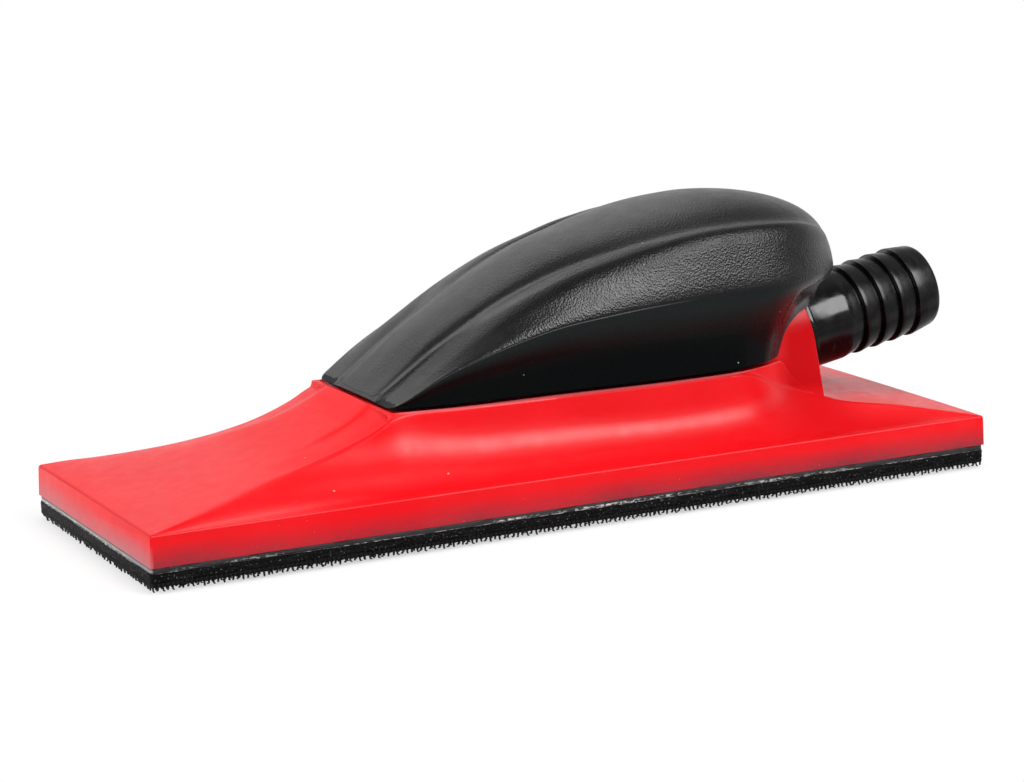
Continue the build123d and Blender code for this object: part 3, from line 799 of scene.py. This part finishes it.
def kept(place, name):
    """A value that was kept on the mesh under this name."""
    node = new_node(place, "ShaderNodeAttribute")
    node.attribute_name = name
    return node.outputs["Fac"]


def bumped(shader, height, depth_mm, strength):
    """Adds a bump of a real depth to the shader."""
    node = new_node(height, "ShaderNodeBump")
    node.inputs["Strength"].default_value = strength
    node.inputs["Distance"].default_value = depth_mm / 1000
    link(height, node.inputs["Height"])
    feed(shader, "Normal", node.outputs["Normal"])


# %% Steps that come back in several finishes
def times(product, *factors):
    """The product of its values, taken from left to right."""
    for factor in factors:
        product = maths("MULTIPLY", product, factor)
    return product


def near(value, middle, outer, inner):
    """A band: 1 within inner of the middle value, and 0 from outer on."""
    away = maths("ABSOLUTE", maths("SUBTRACT", value, middle), 0)
    return ramp(away, outer, inner)


def scaled(mask, factor):
    """A multiplier: 1 where the mask is off and the factor where it is on."""
    return ramp(mask, 0.0, 1.0, 1.0, factor)


def patches(place, size_mm, low, high, out_low=0.0, out_high=1.0, detail=3.0, stretch=(1, 1, 1)):
    """Noise spread out between two of its levels, so that it forms patches."""
    return ramp(noise(place, size_mm, detail, stretch), low, high, out_low, out_high)


def specks(place, gap_mm, outer, inner, patch_mm, low, high, detail=1):
    """Dots at the cells' middles, about gap_mm apart, left only inside patches of noise."""
    dots = ramp(cells(place, gap_mm), outer, inner)
    return times(dots, patches(place, patch_mm, low, high, detail=detail))


def dress(piece, material, nodes, body="block"):
    """Gives a new piece its finish and its body, and hides the solids it stands for."""
    piece.data.materials.clear()
    piece.data.materials.append(material)
    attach(piece, body)
    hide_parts(*nodes)
    print(piece.name, "wears", material.name, "on", body, "for", *nodes)

# %% [markdown]
# ## Red moulded plastic
# The base is a satin, saturated red with a faint mottle, a few specks of pale dust and a fine
# grit low down. Towards the pad the side walls are painted darker, as painted shade, and the
# front end greyish pink, as a painted reflection of the floor. A painted highlight runs along
# the side walls' top edge, with a darker line along the front end's top edge, and dust lies
# on the lip round the grip.

# %% Colour of the red plastic
red, shader, place = start_material("red_plastic", (0.86, 0.006, 0.012), 0.34, 0.4)
level = axis_value(place, "Z")
along = axis_value(place, "X")
steep = kept(place, "steep")
front_end = ramp(along, -0.0984, -0.0988)

mottle = patches(place, 22, 0.35, 0.65)
tone = mixed(mottle, (0.81, 0.003, 0.008), (0.77, 0.002, 0.006))
pale_dust = specks(place, 5.5, 0.05, 0.03, patch_mm=9, low=0.56, high=0.60)
tone = mixed(pale_dust, tone, (0.9, 0.35, 0.35))

# Low on the walls the red is painted darker, as painted shade, and greyish pink on the front end, as a
# painted reflection of the floor.
low_wall = ramp(level, 0.0098, 0.0056)
blotches = patches(place, 24, 0.3, 0.7, 0.45, 0.9, detail=2)
fine_breakup = patches(place, 0.7, 0.40, 0.62, 0.86, 1.08, detail=2)
low_shade_and_reflection = mixed(front_end, (0.17, 0.025, 0.04), (0.40, 0.15, 0.17))
tone = mixed(times(low_wall, blotches, fine_breakup), tone, low_shade_and_reflection)

grit = specks(place, 1.9, 0.06, 0.035, patch_mm=7, low=0.44, high=0.56, detail=2)
grit = times(grit, ramp(level, 0.0120, 0.0100, 0.15, 0.6))
tone = mixed(grit, tone, (0.75, 0.30, 0.32))

# A painted highlight along the side walls' top edge; on the front end the painted line is darker
# instead.
painted_edge_line = near(level, 0.01152, 0.00015, 0.00006)
painted_edge_line = times(painted_edge_line, ramp(steep, 0.25, 0.5))
painted_edge_tone = mixed(front_end, (1.0, 0.20, 0.22), (0.12, 0.0, 0.002))
tone = mixed(times(painted_edge_line, 0.38), tone, painted_edge_tone)

on_lip = ramp(level, 0.02575, 0.0260, 0.0, 0.35)
behind_nose = ramp(along, -0.039, -0.036)
lying = ramp(steep, 0.2, 0.5, 1.0, 0.2)
tone = mixed(times(on_lip, behind_nose, lying), tone, (0.6, 0.30, 0.33))

# %% [markdown]
# The red's shine follows the slope. Level ground is the brightest mirror and upright walls are
# the dullest. A band along the hollow flanks is polished and catches the large lamp. The top
# of the ramp and the sides of the neck's arch are duller, and the deck behind is shinier.

# %% Shine of the red plastic
gentle = ramp(steep, 0.015, 0.10, 0.42, 0.28)
upright = ramp(steep, 0.15, 0.50, 0.42, 0.20)
flank_band = times(near(steep, 0.54, 0.14, 0.03), ramp(level, 0.0125, 0.0145))
upper_ramp = times(ramp(along, -0.070, -0.059), ramp(along, -0.038, -0.041))
rear_deck = ramp(along, 0.067, 0.071, 1.0, 1.35)
arch_side = times(ramp(along, 0.054, 0.060), ramp(level, 0.0165, 0.020),
                  ramp(steep, 0.3, 0.7))
shine = maths("MINIMUM", gentle, upright)
shine = maths("ADD", shine, times(flank_band, 0.40))
shine = times(shine, scaled(upper_ramp, 0.60), rear_deck, scaled(arch_side, 0.5))
feed(shader, "Specular IOR Level", shine)
# The sides of the neck's arch are painted a deeper red, as painted shade.
feed(shader, "Base Color", mixed(arch_side, tone, (0.56, 0.0, 0.003)))
feed(shader, "Roughness", patches(place, 3, 0.3, 0.7, 0.30, 0.40, detail=4))
bumped(shader, noise(place, 0.45, 2), 0.012, 0.5)
dress(base, red, ["base_body"])
dress(neck, red, ["base_body"])

# %% [markdown]
# ## Black grained plastic
# The upper shell of the grip has a fine leather grain for a dry hold. Below the parting line
# the moulding is smoother, so a mask from each point's climb up the shoulder fades the
# grain out there. The ridge line is polished by hands, and the hollow just under it is dull.

# %% Shine of the grip's plastic
grained, shader, place = start_material("grip_plastic", (0.004, 0.004, 0.0045), 0.42)
along = axis_value(place, "X")
climb = kept(place, "climb")
grain_share = ramp(climb, -0.02, 0.07, 0.10, 1.0)
rough = patches(place, 4, 0.3, 0.7, 0.30, 0.38, detail=4)
smoother = ramp(grain_share, 0.12, 1.0, 0.06, 0.0)
feed(shader, "Roughness", maths("SUBTRACT", rough, smoother))

tail = ramp(along, 0.050, 0.064, 0.0, 0.9)
shine = maths("MAXIMUM", ramp(grain_share, 0.12, 1.0, 0.05, 1.0), tail)
dull_hollow = times(ramp(climb, 0.58, 0.80), ramp(climb, 0.99, 0.94))
ridge_bead = times(near(climb, 0.99, 0.035, 0.005), ramp(along, 0.060, 0.045))
shine = times(shine, scaled(dull_hollow, 0.62), scaled(ridge_bead, 1.7))
feed(shader, "Specular IOR Level", shine)

# %% Colour and grain of the grip's plastic
mottle = patches(place, 14, 0.3, 0.7)
grained_tone = mixed(mottle, (0.0028, 0.0028, 0.0032), (0.004, 0.004, 0.0045))
# Below the parting line the colour is painted darker towards the seam, as painted shade, and tinted
# cyan to offset the red reflection of the deck.
low_flank = ramp(climb, -0.75, -0.15)
lower_tone_with_shade = mixed(low_flank, (0.0035, 0.0045, 0.0047), (0.0145, 0.018, 0.0182))
tone = mixed(grain_share, lower_tone_with_shade, grained_tone)
# A painted highlight along the front part of the parting line.
parting_line_highlight = times(near(climb, 0.01, 0.014, 0.006), ramp(along, 0.030, 0.012))
tone = mixed(parting_line_highlight, tone, (0.10, 0.10, 0.10))
dust = specks(place, 4.3, 0.045, 0.025, patch_mm=8, low=0.57, high=0.60)
feed(shader, "Base Color", mixed(dust, tone, (0.45, 0.45, 0.45)))
leather = maths("ADD", cells(place, 0.46), times(noise(place, 0.25, 3), 0.5))
bumped(shader, times(leather, grain_share), 0.10, 0.78)
dress(grip, grained, ["grip_shell"])

# %% [markdown]
# ## Black gloss plastic
# The connector is a harder, glossier black with faint scuffs. The collar keeps its polish, and
# the barbs are duller from hoses pushed on and off. The underside is dulled, because it faces
# the white floor and would mirror it. That dulling is fixed to the connector, so it turns too.

# %% Connector plastic
gloss, shader, place = start_material("connector_plastic", (0.004, 0.004, 0.0045), 0.2)
along = axis_value(place, "X")
worn = ramp(along, 0.080, 0.0815)
polish = patches(place, 2.5, 0.35, 0.75, 0.12, 0.28, detail=5)
feed(shader, "Roughness", maths("ADD", polish, times(worn, 0.12)))
axis_height = ramp(along, 0.06, 0.11, axis_level(60) / 1000, axis_level(110) / 1000)
below_axis = maths("SUBTRACT", axis_height, axis_value(place, "Z"))
under = ramp(below_axis, -0.0005, 0.0035, 1.0, 0.10)
feed(shader, "Specular IOR Level", times(ramp(worn, 0.0, 1.0, 0.9, 0.75), under))
scuff = times(patches(place, 1.2, 0.60, 0.72, detail=6, stretch=(1, 4, 4)), 0.4)
feed(shader, "Base Color", mixed(scuff, (0.003, 0.003, 0.0035), (0.035, 0.035, 0.035)))
bumped(shader, noise(place, 1.6, 3), 0.03, 0.35)
dress(connector, gloss, ["hose_connector"], body="connector")

# %% [markdown]
# ## The pad's finishes
# The plate is a grey-black sheet with pale dried glue along its lower edge, and its front end
# is painted paler, as a painted highlight. The glue films are dark where they are clean and
# whitish where they squeezed out. The foam is a matt near-black with lighter streaks and pale
# flecks painted as highlights, the tape is a woven nylon and the hooks are a satin nylon.

# %% Plate and glue
plate_skin, shader, place = start_material("plate_sheet", (0.045, 0.042, 0.042), 0.42, 0.5)
level = axis_value(place, "Z")
smear = patches(place, 9, 0.48, 0.58, detail=5, stretch=(3, 1, 1))
crumbs = patches(place, 0.55, 0.48, 0.58, detail=4, stretch=(1.6, 1, 1))
glue_share = times(smear, crumbs, ramp(level, 0.0045, 0.0042))
mottle = patches(place, 3, 0.3, 0.7, detail=4)
tone = mixed(mottle, (0.018, 0.016, 0.017), (0.034, 0.030, 0.032))
# The front end of the plate is painted paler, as a painted highlight.
plate_front_end = ramp(axis_value(place, "X"), -0.0985, -0.0988)
painted_end_highlight = times(plate_front_end, ramp(level, 0.0047, 0.00455))
tone = mixed(painted_end_highlight, tone, (0.26, 0.27, 0.27))
feed(shader, "Base Color", mixed(glue_share, tone, (0.70, 0.70, 0.68)))
bumped(shader, maths("ADD", glue_share, noise(place, 0.6, 3)), 0.06, 0.5)
dress(plate, plate_skin, ["backing_plate"])

glue_skin, shader, place = start_material("glue_film", (0.05, 0.05, 0.05), 0.5)
crumbs = patches(place, 0.6, 0.47, 0.58, detail=4, stretch=(1.8, 1, 1))
smear = patches(place, 11, 0.40, 0.56, detail=4, stretch=(2, 1, 1))
glue_share = times(smear, crumbs)
feed(shader, "Base Color", mixed(glue_share, (0.03, 0.03, 0.03), (0.62, 0.62, 0.60)))
bumped(shader, crumbs, 0.08, 0.6)
dress(lower_glue, glue_skin, ["foam_glue_film"])
dress(upper_glue, glue_skin, ["plate_glue_film"])

# %% Foam, tape and hooks
foam_skin, shader, place = start_material("foam_cells", (0.006, 0.006, 0.006), 0.6, 0.15)
# The lighter streaks and the pale flecks are painted highlights on the foam; the streaks also shape its
# bump.
streak = noise(place, 1.4, 4, (4, 1, 0.5))
tone = mixed(ramp(streak, 0.45, 0.72), (0.001, 0.001, 0.001), (0.008, 0.008, 0.009))
painted_glint_flecks = patches(place, 0.45, 0.66, 0.72, detail=1)
feed(shader, "Base Color", mixed(painted_glint_flecks, tone, (0.10, 0.10, 0.10)))
bumped(shader, maths("ADD", cells(place, 0.55), streak), 0.30, 1.0)
dress(foam, foam_skin, ["foam_pad"])

tape_skin, shader, place = start_material("tape_weave", (0.006, 0.006, 0.006), 0.6, 0.15)
weave = new_node(place, "ShaderNodeTexWave")
weave.inputs["Scale"].default_value = 310
weave.inputs["Distortion"].default_value = 1.5
link(place, weave.inputs["Vector"])
threads = weave.outputs["Fac"]
feed(shader, "Base Color", mixed(threads, (0.001, 0.001, 0.001), (0.009, 0.009, 0.010)))
bumped(shader, threads, 0.12, 0.8)
dress(tape, tape_skin, ["hook_tape"])

hook_skin, shader, place = start_material("hook_nylon_strand", (0.006, 0.006, 0.007), 0.35, 0.35)
mottle = patches(place, 0.8, 0.4, 0.7, detail=2)
feed(shader, "Base Color", mixed(mottle, (0.003, 0.003, 0.003), (0.035, 0.035, 0.036)))
feed(shader, "Roughness", patches(place, 2.0, 0.3, 0.7, 0.28, 0.5, detail=2))
dress(hooks, hook_skin, ["hook_tape"])

# %% [markdown]
# ## Small parts inside
# The screws, the retaining ring and the seal stay as their solids. Each gets its own
# finish: bright zinc with drawn streaks, dark phosphate with a fine grain, and matt rubber.

# %% Inner finishes
def inner_finish(node, name, roughness, metallic, tones, blob_mm, grain, depth_mm):
    """Dresses a solid in its finish: two tones mixed by noise, and a fine bump."""
    finish, shader, place = start_material(name, tones[0], roughness)
    shader.inputs["Metallic"].default_value = metallic
    feed(shader, "Base Color", mixed(noise(place, blob_mm, 4), *tones))
    bumped(shader, noise(place, *grain), depth_mm, 0.5)
    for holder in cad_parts[node].material_slots:
        holder.material = finish
    print(node, "wears", name)


zinc_tones = (0.48, 0.49, 0.50), (0.66, 0.66, 0.64)
phosphate_tones = (0.07, 0.07, 0.08), (0.16, 0.16, 0.17)
rubber_tones = (0.010, 0.010, 0.010), (0.024, 0.024, 0.024)
inner_finish("grip_screws", "zinc_plate", 0.32, 1.0, zinc_tones,
             blob_mm=1.5, grain=(0.3, 3, (1, 1, 6)), depth_mm=0.01)
inner_finish("connector_retaining_ring", "phosphate_steel", 0.5, 1.0, phosphate_tones,
             blob_mm=0.8, grain=(0.2, 3), depth_mm=0.01)
inner_finish("connector_seal", "seal_rubber_skin", 0.65, 0.0, rubber_tones,
             blob_mm=0.9, grain=(0.25, 3), depth_mm=0.02)

# %% [markdown]
# ## Studio
# The block stands on a plain white sweep. A large soft lamp stands at the right, in front and
# above: it draws the highlight down the grip's shoulder, the band along the flank and the
# patch on the hose collar. A lamp overhead lights the colours but isn't mirrored. A third one
# lights the front end from the left, and a weak one stands behind. The background is white
# to the camera. Reflections see a white sweep behind the block and a dim studio in front of
# it, which is what keeps the black mouldings black and the red ones deep.

# %% Floor
floor_half, floor_drop = 6, 0.0003


def white_floor():
    """A white floor for the camera; to reflections it dims towards the dark side of the studio."""
    corners = [(-floor_half, -floor_half), (floor_half, -floor_half), (floor_half, floor_half),
               (-floor_half, floor_half)]
    mesh = bpy.data.meshes.new("floor")
    mesh.from_pydata([(x, y, -floor_drop) for x, y in corners], [], [(0, 1, 2, 3)])
    floor = bpy.data.objects.new("floor", mesh)
    bpy.context.collection.objects.link(floor)
    paper, shader, place = start_material("floor_paper", (0.92, 0.92, 0.92), 0.9, 0.0)
    rays = new_node(place, "ShaderNodeLightPath")
    far = new_node(place, "ShaderNodeVectorMath")
    far.operation = "LENGTH"
    link(place, far.inputs[0])
    front = ramp(axis_value(place, "Y"), 0.02, -0.08)
    dim = times(front, rays.outputs["Is Glossy Ray"])
    feed(shader, "Base Color", mixed(dim, (0.92, 0.92, 0.92), (0.10, 0.10, 0.10)))
    glow = new_node(place, "ShaderNodeEmission")
    blend = new_node(place, "ShaderNodeMixShader")
    whiter_far_off = ramp(far.outputs["Value"], 0.085, 0.17, 0.58, 1.0)
    link(times(whiter_far_off, rays.outputs["Is Camera Ray"]), blend.inputs["Fac"])
    link(shader.outputs[0], blend.inputs[1])
    link(glow.outputs[0], blend.inputs[2])
    link(blend.outputs[0], paper.node_tree.nodes["Material Output"].inputs["Surface"])
    mesh.materials.append(paper)
    print("floor", 2 * floor_half, "m wide")


white_floor()

# %% World
world = bpy.data.worlds.new("studio")
bpy.context.scene.world = world
world.use_nodes = True
tree = world.node_tree
tree.nodes.clear()


def background(colour=None):
    """A background node, with a plain colour where one is given."""
    node = tree.nodes.new("ShaderNodeBackground")
    if colour:
        node.inputs["Color"].default_value = (*colour, 1)
    return node


def chosen(share, first, second):
    """The first background where the share is 0 and the second where it is 1."""
    node = new_node(share, "ShaderNodeMixShader")
    for socket, value in zip(node.inputs, (share, first, second)):
        link(value, socket)
    return node.outputs[0]


rays = tree.nodes.new("ShaderNodeLightPath").outputs
sky = tree.nodes.new("ShaderNodeTexCoord").outputs["Generated"]
low_sky = ramp(axis_value(sky, "Z"), 0.08, 0.55, 1.0, 0.15)
rear_sky = ramp(axis_value(sky, "Y"), -0.25, 0.15, 0.12, 1.0)
mirrored = background()
sky_tone = mixed(times(low_sky, rear_sky), (0.03, 0.03, 0.03), (0.95, 0.95, 0.95))
link(sky_tone, mirrored.inputs["Color"])
fill, plain_white = background((0.30, 0.30, 0.30)), background((1, 1, 1))
in_mirror = maths("MAXIMUM", rays["Is Glossy Ray"], rays["Is Transmission Ray"])
lit = chosen(in_mirror, fill.outputs[0], mirrored.outputs[0])
seen = chosen(rays["Is Camera Ray"], lit, plain_white.outputs[0])
link(seen, tree.nodes.new("ShaderNodeOutputWorld").inputs["Surface"])
print("world", world.name, len(tree.nodes), "nodes")

# %% Lamps
def lamp(name, position, target, width, depth, watts, shine=True):
    """A rectangular soft lamp that faces its target; without shine, gloss doesn't mirror it."""
    light = bpy.data.lights.new(name, "AREA")
    light.shape = "RECTANGLE"
    light.size, light.size_y = width, depth
    light.energy = watts
    holder = bpy.data.objects.new(name, light)
    aim = Vector(target) - Vector(position)
    turned = aim.to_track_quat("-Z", "Y").to_matrix().to_4x4()
    holder.matrix_world = Matrix.Translation(position) @ turned
    holder.visible_glossy = shine
    bpy.context.collection.objects.link(holder)
    print("lamp", name, watts, "W at", round(aim.length, 2), "m")


lamp("key", (0.34, -0.59, 0.515), (0.34, 0.0, 0.0), 0.60, 0.52, 4.5)
lamp("top", (0.05, -0.05, 1.1), (0, 0, 0), 0.5, 0.5, 5.5, shine=False)
lamp("left_end", (-0.9, 0.0, 0.45), (0, 0, 0.02), 0.5, 0.5, 4.6)
lamp("behind", (0.1, 0.9, 0.8), (0, 0, 0.03), 1.0, 0.5, 1.5)
bpy.context.scene.view_settings.view_transform = "Standard"

# %% [markdown]
# ## Camera
# The camera looks from the front left, a little above the block, with a long lens.

# %% Camera
eye = (-0.28232, -0.56118, 0.15782)
lens_to_sensor = 2.857421875
yaw, pitch, roll = math.radians(26.57), math.radians(12.14), math.radians(-1.37)
forward = Vector((math.sin(yaw) * math.cos(pitch), math.cos(yaw) * math.cos(pitch), -math.sin(pitch)))
level_right = Vector((math.cos(yaw), -math.sin(yaw), 0))
level_up = level_right.cross(forward)
right = math.cos(roll) * level_right + math.sin(roll) * level_up
upward = -math.sin(roll) * level_right + math.cos(roll) * level_up
camera = bpy.data.objects.new("camera", bpy.data.cameras.new("camera"))
camera.data.sensor_width = 36
camera.data.lens = lens_to_sensor * 36
turned = Matrix((right, upward, -forward)).transposed().to_4x4()
camera.matrix_world = Matrix.Translation(eye) @ turned
bpy.context.collection.objects.link(camera)
bpy.context.scene.camera = camera
print("camera at", eye, "lens", round(camera.data.lens, 1), "mm")
